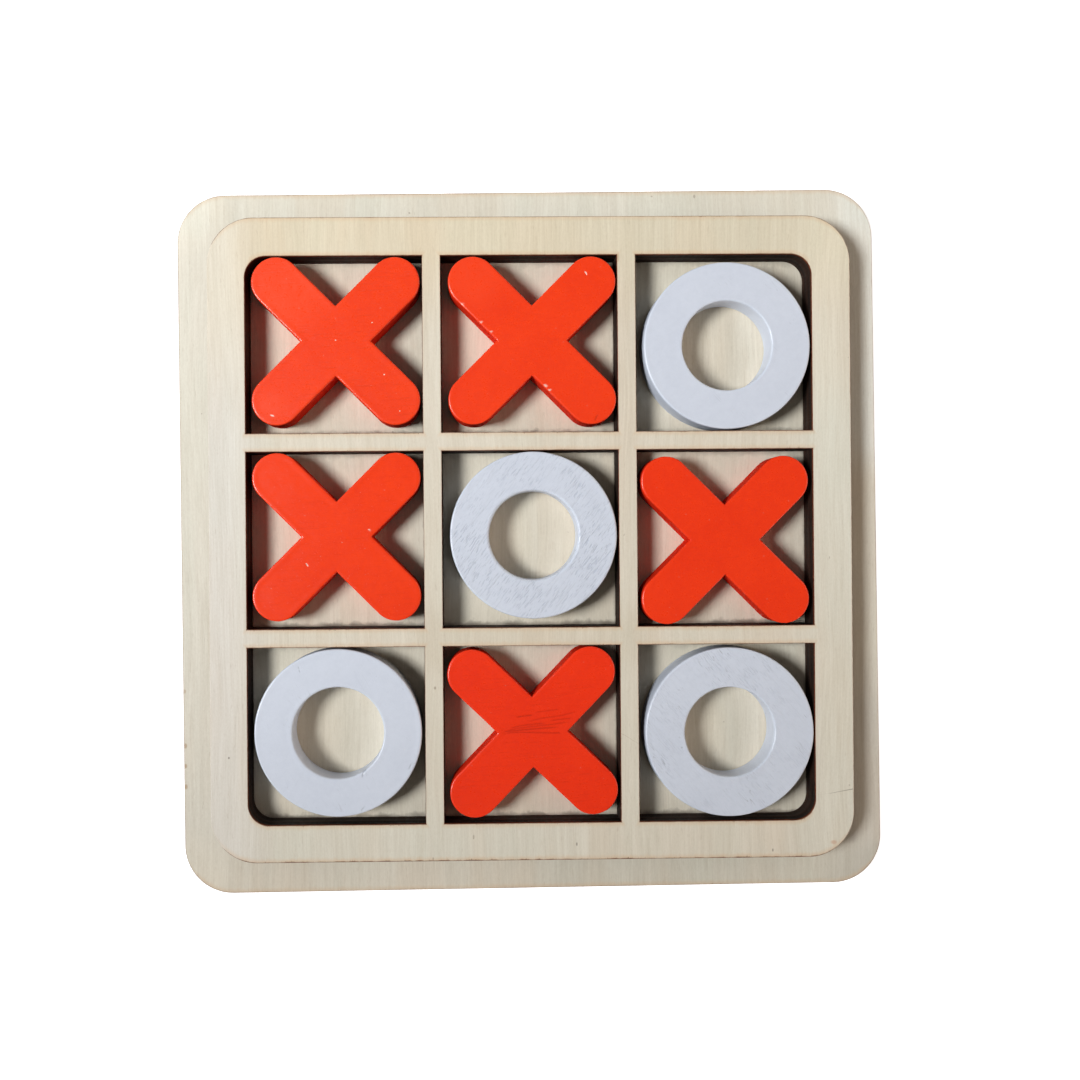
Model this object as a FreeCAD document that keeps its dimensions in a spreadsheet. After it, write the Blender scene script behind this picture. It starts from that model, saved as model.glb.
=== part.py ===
import FreeCAD, Part

import math
import os

# Tic tac toe set: a plywood board with a laser-cut plywood grid frame glued on it, making nine square
# cells, and nine loose painted wooden pieces, five crosses and four rings, one lying in each cell.
#
# Frame of the part: millimetres, +Z up, origin at the centre of the board's underside,
# +X to the right and +Y towards the far edge of the board as a player looks down on it.

V = FreeCAD.Vector
doc = FreeCAD.newDocument("TicTacToeSet")

# ---------------------------------------------------------------- driving dimensions (mm, degrees)
sheet = doc.addObject("Spreadsheet::Sheet", "Dimensions")
DIMS = [
    # base board, 3 mm plywood
    ("base_side", 145.0),          # outer side of the square board
    ("base_corner", 10.0),         # its corner radius
    ("base_thick", 3.0),           # sheet thickness
    # grid frame, 6 mm plywood, one cut sheet
    ("frame_side", 130.7),         # outer side of the square frame
    ("frame_corner", 9.4),         # its corner radius
    ("frame_thick", 6.0),          # sheet thickness, the depth of the cells
    ("frame_skew", -0.34),         # the frame is glued on very slightly turned, clockwise from above
    ("frame_east", -0.20),         # and very slightly off the middle of the board
    ("frame_north", 0.20),
    ("opening_side", 115.3),       # across all three cells and both bars
    ("opening_corner", 4.3),       # radius in the four outermost cell corners
    ("bar_width", 3.75),           # the thin bars between the cells
    # crosses
    ("cross_span", 44.0),          # length of an arm from tip to tip, over its round ends
    ("cross_arm", 10.1),           # width of an arm
    # both kinds
    ("piece_thick", 6.4),          # thickness, so that a piece stands 0.4 proud of the frame
    ("piece_round", 0.5),          # sanded round-over on the top and bottom edges
]
# where each loose piece lies: column and row of its cell counted from the middle cell, shift from the
# centre of the cell to the right and away from the player, and turn in degrees
PIECES = [
    ("x_piece_1", "xa", "cross", -1, 1, 0.45, 0.64, -0.1),
    ("x_piece_2", "xb", "cross", 0, 1, 0.55, 0.57, -0.15),
    ("x_piece_3", "xc", "cross", -1, 0, 0.35, 0.68, -0.1),
    ("x_piece_4", "xd", "cross", 1, 0, -0.18, -0.52, 0.0),
    ("x_piece_5", "xe", "cross", 0, -1, 0.06, 0.50, 1.0),
    ("o_piece_1", "oa", "ring", 1, 1, 0.52, -0.68, 0.0),
    ("o_piece_2", "ob", "ring", 0, 0, 0.55, 0.74, 0.0),
    ("o_piece_3", "oc", "ring", -1, -1, 0.38, 0.70, 0.0),
    ("o_piece_4", "od", "ring", 1, -1, 0.44, 0.15, 0.0),
]
# the rings are turned and sanded by hand, so their outside and hole diameters differ by a few tenths
RINGS = {"oa": (33.9, 18.2), "ob": (33.9, 18.0), "oc": (33.9, 18.5), "od": (34.3, 18.2)}
for node, key, kind, col, row, east, north, turn in PIECES:
    DIMS += [(key + "_col", float(col)), (key + "_row", float(row)), (key + "_east", east),
             (key + "_north", north), (key + "_turn", turn)]
    if kind == "ring":
        DIMS += [(key + "_outer", RINGS[key][0]), (key + "_hole", RINGS[key][1])]
for i, (alias, value) in enumerate(DIMS, 1):
    sheet.set("A%d" % i, alias)
    sheet.set("B%d" % i, repr(value))
    sheet.setAlias("B%d" % i, alias)
doc.recompute()
D = {alias: value for alias, value in DIMS}


# ---------------------------------------------------------------- helpers
def origin_plane(body, role):
    for feature in body.Origin.OriginFeatures:
        if feature.Role == role:
            return feature
    raise RuntimeError("no plane " + role)


def new_body(node):
    body = doc.addObject("PartDesign::Body", node)
    body.Label = node
    return body


def new_sketch(body, name, turn=0.0):
    sketch = body.newObject("Sketcher::SketchObject", name)
    sketch.AttachmentSupport = [(origin_plane(body, "XY_Plane"), "")]
    sketch.MapMode = "FlatFace"
    sketch.AttachmentOffset = FreeCAD.Placement(V(0, 0, 0), FreeCAD.Rotation(V(0, 0, 1), turn))
    return sketch


def dimension(sketch, kind, args, name, expression):
    import Sketcher
    i = sketch.addConstraint(Sketcher.Constraint(kind, *args))
    sketch.renameConstraint(i, name)
    sketch.setExpression("Constraints." + name, expression)


def rectangle(sketch, w, d, w_expr, d_expr, cx=0.0, cy=0.0, cx_expr=None, cy_expr=None):
    """A rectangle w by d about (cx, cy), all four sizes driven."""
    import Sketcher
    p = [V(cx - w / 2, cy - d / 2, 0), V(cx + w / 2, cy - d / 2, 0), V(cx + w / 2, cy + d / 2, 0), V(cx - w / 2, cy + d / 2, 0)]
    n = sketch.GeometryCount
    for a, b in ((0, 1), (1, 2), (2, 3), (3, 0)):
        sketch.addGeometry(Part.LineSegment(p[a], p[b]), False)
    for a, b in ((0, 1), (1, 2), (2, 3), (3, 0)):
        sketch.addConstraint(Sketcher.Constraint("Coincident", n + a, 2, n + b, 1))
    sketch.addConstraint(Sketcher.Constraint("Horizontal", n))
    sketch.addConstraint(Sketcher.Constraint("Horizontal", n + 2))
    sketch.addConstraint(Sketcher.Constraint("Vertical", n + 1))
    sketch.addConstraint(Sketcher.Constraint("Vertical", n + 3))
    dimension(sketch, "DistanceX", (n, 1, n, 2, w), "width", w_expr)
    dimension(sketch, "DistanceY", (n + 1, 1, n + 1, 2, d), "depth", d_expr)
    # the corner nearest the origin's lower left, measured from the origin
    dimension(sketch, "DistanceX", (n, 1, -1, 1, w / 2 - cx), "left", "(%s) / 2 - (%s)" % (w_expr, cx_expr or "0"))
    dimension(sketch, "DistanceY", (n, 1, -1, 1, d / 2 - cy), "front", "(%s) / 2 - (%s)" % (d_expr, cy_expr or "0"))


def pad(body, sketch, name, expression):
    feature = body.newObject("PartDesign::Pad", name)
    feature.Profile = sketch
    feature.setExpression("Length", expression)
    doc.recompute()
    return feature


def pocket(body, sketch, name, expression):
    """Cuts upwards from the underside; the volume is compared, so a cut that misses stops the script."""
    before = body.Shape.Volume
    feature = body.newObject("PartDesign::Pocket", name)
    feature.Profile = sketch
    feature.Reversed = True
    feature.setExpression("Length", expression)
    doc.recompute()
    if not feature.Shape.Volume < before - 1.0:
        raise RuntimeError(name + " cuts nothing")
    return feature


def edge_names(shape, test):
    return ["Edge%d" % (i + 1) for i, e in enumerate(shape.Edges) if test(e)]


def is_vertical(edge):
    a, b = edge.Vertexes[0].Point, edge.Vertexes[-1].Point
    return abs(a.x - b.x) < 1e-6 and abs(a.y - b.y) < 1e-6 and abs(a.z - b.z) > 1e-6


def is_level(edge):
    box = edge.BoundBox
    return box.ZLength < 1e-5


def fillet(body, base, edges, name, expression, count):
    if len(edges) != count:
        raise RuntimeError("%s found %d edges, not %d" % (name, len(edges), count))
    feature = body.newObject("PartDesign::Fillet", name)
    feature.Base = (base, edges)
    feature.setExpression("Radius", expression)
    doc.recompute()
    return feature


# ---------------------------------------------------------------- base board
board = new_body("base_board")
sk = new_sketch(board, "BoardOutline")
rectangle(sk, D["base_side"], D["base_side"], "Dimensions.base_side", "Dimensions.base_side")
sheet_pad = pad(board, sk, "BoardSheet", "Dimensions.base_thick")
fillet(board, sheet_pad, edge_names(sheet_pad.Shape, is_vertical), "BoardCorners", "Dimensions.base_corner", 4)

# ---------------------------------------------------------------- grid frame
grid = new_body("grid_frame")
sk = new_sketch(grid, "FrameOutline")
rectangle(sk, D["frame_side"], D["frame_side"], "Dimensions.frame_side", "Dimensions.frame_side")
frame_pad = pad(grid, sk, "FrameSheet", "Dimensions.frame_thick")
frame_corners = fillet(grid, frame_pad, edge_names(frame_pad.Shape, is_vertical), "FrameCorners",
                       "Dimensions.frame_corner", 4)
sk = new_sketch(grid, "OpeningOutline")
rectangle(sk, D["opening_side"], D["opening_side"], "Dimensions.opening_side", "Dimensions.opening_side")
opening = pocket(grid, sk, "Opening", "Dimensions.frame_thick")
half = D["opening_side"] / 2
inner = edge_names(opening.Shape, lambda e: is_vertical(e) and abs(abs(e.Vertexes[0].Point.x) - half) < 1e-4
                   and abs(abs(e.Vertexes[0].Point.y) - half) < 1e-4)
fillet(grid, opening, inner, "OpeningCorners", "Dimensions.opening_corner", 4)
# the thin bars: one each way, standing off the middle by half a pitch, then mirrored; the ends run 2 mm
# into the rim, because rim and bars are one sheet
OFFSET = (D["opening_side"] + D["bar_width"]) / 6
OFFSET_EXPR = "(Dimensions.opening_side + Dimensions.bar_width) / 6"
LENGTH_EXPR = "Dimensions.opening_side + 4"
sk = new_sketch(grid, "BarAlongY")
rectangle(sk, D["bar_width"], D["opening_side"] + 4, "Dimensions.bar_width", LENGTH_EXPR, cx=OFFSET, cx_expr=OFFSET_EXPR)
bar_y = pad(grid, sk, "BarAlongYPad", "Dimensions.frame_thick")
mirror = grid.newObject("PartDesign::Mirrored", "BarsAlongY")
mirror.Originals = [bar_y]
mirror.MirrorPlane = (origin_plane(grid, "YZ_Plane"), [""])
grid.Tip = mirror
doc.recompute()
sk = new_sketch(grid, "BarAlongX")
rectangle(sk, D["opening_side"] + 4, D["bar_width"], LENGTH_EXPR, "Dimensions.bar_width", cy=OFFSET, cy_expr=OFFSET_EXPR)
bar_x = pad(grid, sk, "BarAlongXPad", "Dimensions.frame_thick")
mirror = grid.newObject("PartDesign::Mirrored", "BarsAlongX")
mirror.Originals = [bar_x]
mirror.MirrorPlane = (origin_plane(grid, "XZ_Plane"), [""])
grid.Tip = mirror
doc.recompute()
grid.Placement = FreeCAD.Placement(V(D["frame_east"], D["frame_north"], D["base_thick"]),
                                   FreeCAD.Rotation(V(0, 0, 1), D["frame_skew"]))
grid.setExpression("Placement.Base.x", "Dimensions.frame_east")
grid.setExpression("Placement.Base.y", "Dimensions.frame_north")
grid.setExpression("Placement.Base.z", "Dimensions.base_thick")
grid.setExpression("Placement.Rotation.Angle", "Dimensions.frame_skew")


# ---------------------------------------------------------------- loose pieces
def stadium(sketch, span, arm):
    """A full-radius slot outline along the sketch's X, centred on its origin."""
    import Sketcher
    a, r = span / 2 - arm / 2, arm / 2
    top = sketch.addGeometry(Part.LineSegment(V(a, r, 0), V(-a, r, 0)), False)
    left = sketch.addGeometry(Part.ArcOfCircle(Part.Circle(V(-a, 0, 0), V(0, 0, 1), r), math.pi / 2, 3 * math.pi / 2), False)
    low = sketch.addGeometry(Part.LineSegment(V(-a, -r, 0), V(a, -r, 0)), False)
    right = sketch.addGeometry(Part.ArcOfCircle(Part.Circle(V(a, 0, 0), V(0, 0, 1), r), -math.pi / 2, math.pi / 2), False)
    sketch.addConstraint(Sketcher.Constraint("Tangent", top, 2, left, 1))
    sketch.addConstraint(Sketcher.Constraint("Tangent", left, 2, low, 1))
    sketch.addConstraint(Sketcher.Constraint("Tangent", low, 2, right, 1))
    sketch.addConstraint(Sketcher.Constraint("Tangent", right, 2, top, 1))
    sketch.addConstraint(Sketcher.Constraint("PointOnObject", left, 3, -1))
    sketch.addConstraint(Sketcher.Constraint("Symmetric", left, 3, right, 3, -1, 1))
    dimension(sketch, "Radius", (left, r), "end_radius", "Dimensions.cross_arm / 2")
    dimension(sketch, "DistanceX", (left, 3, right, 3, 2 * a), "centres", "Dimensions.cross_span - Dimensions.cross_arm")


def build_cross(body, key):
    for n, turn in ((1, 45.0), (2, 135.0)):
        sk = new_sketch(body, "%s_arm_%d" % (key, n), turn)
        stadium(sk, D["cross_span"], D["cross_arm"])
        arm = pad(body, sk, "%s_arm_pad_%d" % (key, n), "Dimensions.piece_thick")
    # each arm outline: 8 straight sides and 4 round ends on either face
    fillet(body, arm, edge_names(arm.Shape, is_level), key + "_round", "Dimensions.piece_round", 24)


def build_ring(body, key):
    import Sketcher
    sk = new_sketch(body, key + "_outline")
    for name in ("outer", "hole"):
        alias = "%s_%s" % (key, name)
        size = D[alias]
        g = sk.addGeometry(Part.Circle(V(0, 0, 0), V(0, 0, 1), size / 2), False)
        sk.addConstraint(Sketcher.Constraint("Coincident", g, 3, -1, 1))
        dimension(sk, "Diameter", (g, size), name, "Dimensions." + alias)
    ring = pad(body, sk, key + "_pad", "Dimensions.piece_thick")
    fillet(body, ring, edge_names(ring.Shape, is_level), key + "_round", "Dimensions.piece_round", 4)


bodies = [board, grid]
for node, key, kind, col, row, east, north, turn in PIECES:
    body = new_body(node)
    (build_cross if kind == "cross" else build_ring)(body, key)
    # the piece lies on the board, in its cell of the slightly turned frame
    pitch = "(Dimensions.opening_side + Dimensions.bar_width) / 3"
    u = "(Dimensions.%s_col * %s + Dimensions.%s_east)" % (key, pitch, key)
    w = "(Dimensions.%s_row * %s + Dimensions.%s_north)" % (key, pitch, key)
    c, s = "cos(Dimensions.frame_skew * 1 deg)", "sin(Dimensions.frame_skew * 1 deg)"
    body.Placement = FreeCAD.Placement(V(0, 0, D["base_thick"]), FreeCAD.Rotation(V(0, 0, 1), 1.0))
    body.setExpression("Placement.Base.x", "Dimensions.frame_east + %s * %s - %s * %s" % (u, c, w, s))
    body.setExpression("Placement.Base.y", "Dimensions.frame_north + %s * %s + %s * %s" % (u, s, w, c))
    body.setExpression("Placement.Base.z", "Dimensions.base_thick")
    body.setExpression("Placement.Rotation.Angle", "Dimensions.frame_skew + Dimensions.%s_turn" % key)
    bodies.append(body)

doc.recompute()

# ---------------------------------------------------------------- checks, then the files
for obj in doc.Objects:
    bad = [word for word in obj.State if word in ("Invalid", "Error")]
    if bad:
        raise RuntimeError("%s is %s" % (obj.Name, bad))
for body in bodies:
    shape = body.Shape
    if shape.isNull() or not shape.isValid() or len(shape.Solids) != 1:
        raise RuntimeError(body.Label + " has no single valid solid")

os.makedirs("parts", exist_ok=True)
for body in bodies:
    body.Shape.exportStep("parts/%s.step" % body.Label)
    box = body.Shape.BoundBox
    print("%-12s volume %9.1f mm3  x %7.2f..%7.2f  y %7.2f..%7.2f  z %5.2f..%5.2f" % (
        body.Label, body.Shape.Volume, box.XMin, box.XMax, box.YMin, box.YMax, box.ZMin, box.ZMax))
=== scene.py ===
import math

import bpy
import numpy as np
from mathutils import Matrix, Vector
from mathutils.geometry import delaunay_2d_cdt


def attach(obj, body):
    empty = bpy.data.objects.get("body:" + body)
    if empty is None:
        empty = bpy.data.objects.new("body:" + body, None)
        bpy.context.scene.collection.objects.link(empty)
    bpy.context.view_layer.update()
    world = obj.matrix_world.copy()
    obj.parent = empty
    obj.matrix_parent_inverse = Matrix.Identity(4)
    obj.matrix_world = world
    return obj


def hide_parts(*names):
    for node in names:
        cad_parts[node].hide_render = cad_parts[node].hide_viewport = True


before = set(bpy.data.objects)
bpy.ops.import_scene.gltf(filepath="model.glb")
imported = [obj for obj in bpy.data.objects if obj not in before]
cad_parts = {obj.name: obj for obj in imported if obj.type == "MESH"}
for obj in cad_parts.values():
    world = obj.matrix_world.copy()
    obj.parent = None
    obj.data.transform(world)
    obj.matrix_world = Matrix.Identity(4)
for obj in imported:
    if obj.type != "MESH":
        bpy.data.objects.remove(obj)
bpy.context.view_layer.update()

# Tic tac toe set: a laser-cut plywood board and grid frame, five red crosses and four white rings.
# Meshes are worked out in millimetres in each piece's own plane, then placed in the frame's metres.
MM = 0.001

# ---------------------------------------------------------------- the sizes the CAD nodes have, in mm
SKEW = math.radians(-0.34)
EAST, NORTH = -0.20, 0.20
BOARD, BOARD_R, BOARD_T = 145.0, 10.0, 3.0
GRID, GRID_R, GRID_T = 130.7, 9.4, 6.0
OPEN, OPEN_R, BAR = 115.3, 4.3, 3.75
PITCH = (OPEN + BAR) / 3
CELL = PITCH - BAR
SPAN, ARM = 44.0, 10.1
THICK, ROUND = 6.4, 0.5
SOFT = 0.32                                        # what is left of the round-over once the edges are sanded and painted
CROSSES = {"x_piece_1": (-1, 1, 0.45, 0.64, -0.1), "x_piece_2": (0, 1, 0.55, 0.57, -0.15),
           "x_piece_3": (-1, 0, 0.35, 0.68, -0.1), "x_piece_4": (1, 0, -0.18, -0.52, 0.0),
           "x_piece_5": (0, -1, 0.06, 0.50, 1.0)}
RINGS = {"o_piece_1": (1, 1, 0.52, -0.68, 33.9, 18.2), "o_piece_2": (0, 0, 0.55, 0.74, 33.9, 18.0),
         "o_piece_3": (-1, -1, 0.38, 0.70, 33.9, 18.5), "o_piece_4": (1, -1, 0.44, 0.15, 34.3, 18.2)}


# ---------------------------------------------------------------- seeded noise
_tables = {}


def noise(x, y, seed):
    """Smooth value noise from -1 to 1 on a unit lattice."""
    if seed not in _tables:
        _tables[seed] = np.random.default_rng(seed).random((256, 256)) * 2 - 1
    t = _tables[seed]
    x, y = np.broadcast_arrays(np.asarray(x, float), np.asarray(y, float))
    xi, yi = np.floor(x).astype(int), np.floor(y).astype(int)
    u, v = x - xi, y - yi
    u, v = u * u * u * (u * (u * 6 - 15) + 10), v * v * v * (v * (v * 6 - 15) + 10)
    a, b = t[xi % 256, yi % 256], t[(xi + 1) % 256, yi % 256]
    c, d = t[xi % 256, (yi + 1) % 256], t[(xi + 1) % 256, (yi + 1) % 256]
    return (a * (1 - u) + b * u) * (1 - v) + (c * (1 - u) + d * u) * v


def smooth(x, lo, hi):
    t = np.clip((np.asarray(x, float) - lo) / (hi - lo), 0, 1)
    return t * t * (3 - 2 * t)


# ---------------------------------------------------------------- mesh builder
class Sheet:
    """Rows of points in mm, joined by bands of quads and filled caps, with float attributes on the points."""

    def __init__(self, names):
        self.co, self.faces, self.count = [], [], 0
        self.names, self.attr = names, {n: [] for n in names}

    def row(self, xyz, **attr):
        xyz = np.asarray(xyz, float)
        self.co.append(xyz)
        for n in self.names:
            self.attr[n].append(np.broadcast_to(np.asarray(attr.get(n, 0.0), float), (len(xyz),)).copy())
        i = np.arange(self.count, self.count + len(xyz))
        self.count += len(xyz)
        return i

    def band(self, a, b):
        self.faces.append(np.stack([a, np.roll(a, -1), np.roll(b, -1), b], 1))

    def points(self):
        return np.concatenate(self.co)

    def fill(self, outer, holes, inner, squash, height, up=True, **attr):
        """Triangles inside the outer row and outside the holes' rows, through the inner points."""
        loops = [outer] + [h[::-1] for h in holes]
        known = np.concatenate(loops)
        xy = self.points()[known][:, :2]
        inner = np.asarray(inner, float).reshape(-1, 2)
        flat = np.vstack([xy, inner]) * (1.0, squash)
        faces, k = [], 0
        for loop in loops:
            faces.append(list(range(k, k + len(loop))))
            k += len(loop)
        out = delaunay_2d_cdt([Vector(p) for p in flat], [], faces, 0, 1e-7, True)
        made, tris, from_points, from_faces = out[0], out[2], out[3], out[5]
        keep = [t for t, f in zip(tris, from_faces) if 0 in f and len(f) == 1]
        used = sorted({i for t in keep for i in t})
        place, fresh, where = {}, [], []
        for i in used:
            source = min(from_points[i]) if from_points[i] else -1
            if 0 <= source < len(known):
                place[i] = known[source]
            else:
                place[i] = -1 - len(fresh)
                fresh.append(i)
                where.append((made[i][0], made[i][1] / squash))
        if fresh:
            where = np.array(where)
            extra = {n: (v(where[:, 0], where[:, 1]) if callable(v) else v) for n, v in attr.items()}
            new = self.row(np.column_stack([where, height(where[:, 0], where[:, 1])]), **extra)
            for i in fresh:
                place[i] = new[-1 - place[i]]
        tri = np.array([[place[i] for i in t] for t in keep])
        p = self.points()
        a, b, c = p[tri[:, 0]], p[tri[:, 1]], p[tri[:, 2]]
        turn = (b[:, 0] - a[:, 0]) * (c[:, 1] - a[:, 1]) - (b[:, 1] - a[:, 1]) * (c[:, 0] - a[:, 0])
        wrong = (turn < 0) if up else (turn > 0)
        tri[wrong] = tri[wrong][:, ::-1]
        self.faces.append(tri)

    def build(self, name, material, turn=0.0, east=0.0, north=0.0, lift=0.0, sharp=40, local=None):
        p = self.points()
        c, s = math.cos(turn), math.sin(turn)
        world = np.column_stack([east + p[:, 0] * c - p[:, 1] * s, north + p[:, 0] * s + p[:, 1] * c, lift + p[:, 2]]) * MM
        mesh = bpy.data.meshes.new(name)
        mesh.from_pydata(world.tolist(), [], [f.tolist() for block in self.faces for f in block])
        for n in self.names:
            layer = mesh.attributes.new(n, "FLOAT", "POINT")
            layer.data.foreach_set("value", np.concatenate(self.attr[n]).astype(np.float32))
        if local is not None:
            layer = mesh.attributes.new("local", "FLOAT_VECTOR", "POINT")
            layer.data.foreach_set("vector", (p + np.array(local)).astype(np.float32).ravel())
        mesh.polygons.foreach_set("use_smooth", [True] * len(mesh.polygons))
        mesh.set_sharp_from_angle(angle=math.radians(sharp))
        mesh.materials.append(material)
        mesh.validate()
        piece = bpy.data.objects.new(name, mesh)
        bpy.context.scene.collection.objects.link(piece)
        return piece


def normals(xy):
    """Mitred outward normals of a closed outline whose material lies to its left."""
    step = np.roll(xy, -1, 0) - xy
    step /= np.linalg.norm(step, axis=1)[:, None]
    out = np.column_stack([step[:, 1], -step[:, 0]])
    before = np.roll(out, 1, 0)
    return (out + before) / (1 + (out * before).sum(1))[:, None]


def along(xy):
    """Length along a closed outline at each point."""
    step = np.linalg.norm(np.roll(xy, -1, 0) - xy, axis=1)
    return np.concatenate([[0], np.cumsum(step)[:-1]])


def rounded_box(w, h, radii, step, cx=0.0, cy=0.0):
    """Counter-clockwise outline; radii in the order lower left, lower right, upper right, upper left."""
    corners = []
    for (sx, sy, start), r in zip(((-1, -1, 180), (1, -1, 270), (1, 1, 0), (-1, 1, 90)), radii):
        x, y = sx * w / 2, sy * h / 2
        if r <= 0:
            corners.append(np.array([[x, y]]))
        else:
            n = max(6, int(round(math.pi / 2 * r / step)))
            a = np.radians(start + np.linspace(0, 90, n + 1))
            corners.append(np.column_stack([x - sx * r + r * np.cos(a), y - sy * r + r * np.sin(a)]))
    points = []
    for i, c in enumerate(corners):
        nxt = corners[(i + 1) % 4][0]
        n = max(1, int(round(np.linalg.norm(nxt - c[-1]) / step)))
        t = np.arange(1, n)[:, None] / n
        points += [c, c[-1] + (nxt - c[-1]) * t]
    return np.vstack(points) + (cx, cy)


# ---------------------------------------------------------------- plywood sheets
def relief(x, y, seed, depth=0.014):
    """How far the planed face lies below its highest point: fine ridges that run along the grain."""
    bend = 0.6 * noise(x / 30, y / 40, seed + 5)
    n = 0.6 * noise((x + bend) / 0.55, y / 9, seed) + 0.4 * noise((x + bend) / 1.6, y / 26, seed + 1)
    return depth * (1 - n)


def edge_burn(x, y, nx, ny, kind, seed):
    """How strongly the cut has marked the face beside it, from 0 to 1."""
    level = np.abs(ny) > 0.6
    grain = 0.5 + 0.5 * noise(x / 1.1, y / 1.1, seed + 40)
    patch = 0.5 + 0.5 * noise(x / 6.0, y / 6.0, seed + 41)
    if kind == "board":
        b = 0.22 + 0.25 * patch + 0.15 * level * grain
    elif kind == "rim":
        b = np.where(ny > 0, 0.50 * smooth(ny, 0.25, 0.8), 0.85 * smooth(-ny, 0.55, 0.98))
        b = np.maximum(b, np.where(nx > 0, 0.45 * smooth(nx, 0.3, 0.8), 0.07))
        b = b * (0.40 + 0.9 * grain * patch + 0.30 * grain)
    else:
        # nx and ny point away from the material, so ny < 0 is a cell's far wall
        b = np.where(level, 0.50, 0.22) * (0.5 + 0.6 * grain + 0.3 * patch)
        b = np.where(ny > 0.6, b * 1.15, b)
    return np.clip(b, 0, 1)


def plywood_sheet(outlines, thick, plies, step_seed, taper, relief_seed, bottom=True):
    """A cut sheet. outlines: the outer one counter-clockwise, then the openings clockwise."""
    s = Sheet(["cut", "across", "burn", "wall"])
    ply = thick / plies
    heights = [0.0]
    for k in range(1, plies):
        heights += [k * ply - 0.05, k * ply + 0.05]
    arris = 0.09
    heights += [thick - arris]
    tops, bottoms = [], []
    for number, (xy, kind) in enumerate(outlines):
        n = normals(xy)
        run = along(xy)
        streak = 0.5 + 0.5 * noise(run / 0.8, number * 7.3, step_seed)
        slow = 0.5 + 0.5 * noise(run / 14, number * 3.1, step_seed + 1)
        base = 0.018 * streak + 0.02 * slow
        width = taper if kind == "cell" else 0.0
        unit = n / np.maximum(np.linalg.norm(n, axis=1), 1e-9)[:, None]
        burn = edge_burn(xy[:, 0], xy[:, 1], unit[:, 0], unit[:, 1], kind, step_seed)
        across = smooth(np.abs(unit[:, 1]), 0.3, 0.8)
        rows = []
        for z in heights:
            layer = min(int((z + 1e-6) / ply), plies - 1)
            deep = 0.022 if layer % 2 else 0.0
            fibre = 0.012 * (0.5 + 0.5 * noise(run / 0.7, z * 3 + number, step_seed + 2)) if layer % 2 else 0.0
            inset = base * (0.35 + 0.65 * (1 - z / thick)) + deep + fibre - width * (1 - z / thick)
            q = xy - n * np.asarray(inset).reshape(-1, 1)
            rows.append(s.row(np.column_stack([q, np.full(len(q), z)]), cut=0.0, across=across, burn=burn, wall=1.0))
        start = base * 0.35
        for angle in (30, 60, 90):
            a = math.radians(angle)
            q = xy - n * (start + arris * (1 - math.cos(a)))[:, None]
            z = thick - arris * (1 - math.sin(a)) - 0.010
            rows.append(s.row(np.column_stack([q, np.full(len(q), z)]), cut=0.0, across=across, burn=burn,
                              wall=1.0 - angle / 90))
        for inset in (0.30, 0.62, 1.05, 1.55):
            q = xy - n * (inset + base * 0.2)[:, None] if inset < 0.5 else xy - n * inset
            fade = smooth(inset, 0.0, 0.6)
            z = thick - 0.010 * (1 - fade) - relief(q[:, 0], q[:, 1], relief_seed) * fade
            rows.append(s.row(np.column_stack([q, z]), cut=inset - arris, across=across, burn=burn, wall=0.0))
        for a, b in zip(rows, rows[1:]):
            s.band(a, b)
        tops.append(rows[-1])
        bottoms.append(rows[0])
    return s, tops, bottoms


def lattice(w, h, dx, dy, allowed):
    xs = np.arange(-w / 2, w / 2, dx) + dx / 2
    ys = np.arange(-h / 2, h / 2, dy) + dy / 2
    x, y = np.meshgrid(xs, ys)
    x, y = x.ravel(), y.ravel()
    ok = allowed(x, y)
    return np.column_stack([x[ok], y[ok]])


def box_distance(x, y, w, h, r):
    """Signed distance to a rounded box about the origin, negative inside."""
    qx, qy = np.abs(x) - (w / 2 - r), np.abs(y) - (h / 2 - r)
    return np.hypot(np.maximum(qx, 0), np.maximum(qy, 0)) + np.minimum(np.maximum(qx, qy), 0) - r


def make_board(material):
    outline = rounded_box(BOARD, BOARD, [BOARD_R] * 4, 0.5)
    s, tops, bottoms = plywood_sheet([(outline, "board")], BOARD_T, 3, 101, 0.0, 301)
    dots = lattice(BOARD, BOARD, 0.5, 2.5, lambda x, y: box_distance(x, y, BOARD, BOARD, BOARD_R) < -1.9)
    s.fill(tops[0], [], dots, 0.2, lambda x, y: BOARD_T - relief(x, y, 301), cut=9.0)
    s.fill(bottoms[0], [], lattice(BOARD, BOARD, 4, 8, lambda x, y: box_distance(x, y, BOARD, BOARD, BOARD_R) < -2.5),
           0.5, lambda x, y: np.zeros_like(x), up=False, cut=9.0)
    return s.build("plywood_board", material)


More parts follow.
